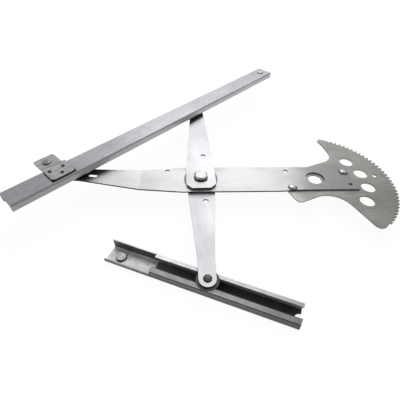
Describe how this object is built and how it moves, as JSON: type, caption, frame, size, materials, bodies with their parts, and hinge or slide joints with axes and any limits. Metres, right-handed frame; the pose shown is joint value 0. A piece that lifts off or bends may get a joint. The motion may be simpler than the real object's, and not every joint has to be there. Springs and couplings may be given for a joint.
{
  "type": "scissor window regulator",
  "caption": "Manual scissor window regulator: toothed sector on a lift arm, a crossing arm, rollers in a glass channel and a short guide channel.",
  "frame": {"origin": "axis of the hub bore, on the back face of the toothed sector", "axes": "+Z along the hub axis towards the glass channel; +X from the scissor pivot towards the teeth; +Y towards the upper roller"},
  "size_m": [0.5054, 0.5295, 0.0499],
  "materials": {
    "zinc_arm": "bright zinc plate",
    "gear_steel": "oiled satin",
    "channel_steel": "galvanised satin",
    "guide_steel": "galvanised satin",
    "bracket_steel": "galvanised satin",
    "rivet_steel": "bright zinc plate",
    "washer_steel": "satin",
    "stud_steel": "dark oiled",
    "roller_plastic": "moulded"
  },
  "bodies": {
    "lift_arm": {"lift_arm": "zinc_arm", "sector_gear": "gear_steel", "sector_rivets": "rivet_steel", "lift_end_stud": "stud_steel"},
    "cross_arm": {"cross_arm_upper": "zinc_arm", "cross_arm_lower": "zinc_arm", "pivot_stud": "rivet_steel", "pivot_square": "rivet_steel", "pivot_cap": "rivet_steel", "upper_spacer": "washer_steel", "lower_spacer": "washer_steel", "cross_arm_studs": "stud_steel"},
    "lift_roller": {"lift_end_roller": "roller_plastic"},
    "glass_channel": {"glass_channel": "channel_steel", "channel_stop": "rivet_steel", "glass_bracket": "bracket_steel", "bracket_rivets": "rivet_steel", "bracket_button": "rivet_steel"},
    "upper_roller": {"upper_end_roller": "roller_plastic"},
    "guide_roller": {"guide_roller": "roller_plastic"},
    "guide_channel": {"guide_channel": "guide_steel", "guide_nut": "rivet_steel"}
  },
  "joints": [
    {"name": "scissor", "type": "hinge", "parent": "lift_arm", "child": "cross_arm", "pos_m": [-0.15927, -0.0064, 0.0033], "axis": [0, 0, 1], "range_deg": [-53, 58]},
    {"name": "lift_roller_turn", "type": "hinge", "parent": "lift_arm", "child": "lift_roller", "pos_m": [-0.33033, -0.01327, 0.0122], "axis": [0, 0, 1], "range_deg": [-28, 30]},
    {"name": "glass_channel_slide", "type": "slide", "parent": "lift_roller", "child": "glass_channel", "axis": [0.6717, 0.7408, 0], "range_m": [-0.075, 0.055]},
    {"name": "upper_roller_turn", "type": "hinge", "parent": "cross_arm", "child": "upper_roller", "pos_m": [-0.16913, 0.16452, 0.0122], "axis": [0, 0, 1], "continuous": true},
    {"name": "guide_roller_turn", "type": "hinge", "parent": "cross_arm", "child": "guide_roller", "pos_m": [-0.15067, -0.15555, -0.004], "axis": [0, 0, 1], "range_deg": [-50, 50]},
    {"name": "guide_channel_slide", "type": "slide", "parent": "guide_roller", "child": "guide_channel", "axis": [0.9409, -0.3387, 0], "range_m": [-0.08, 0.05]}
  ],
  "couplings": [
    {"joint": "lift_roller_turn", "follows": "scissor", "ratio": 0.5}
  ]
}
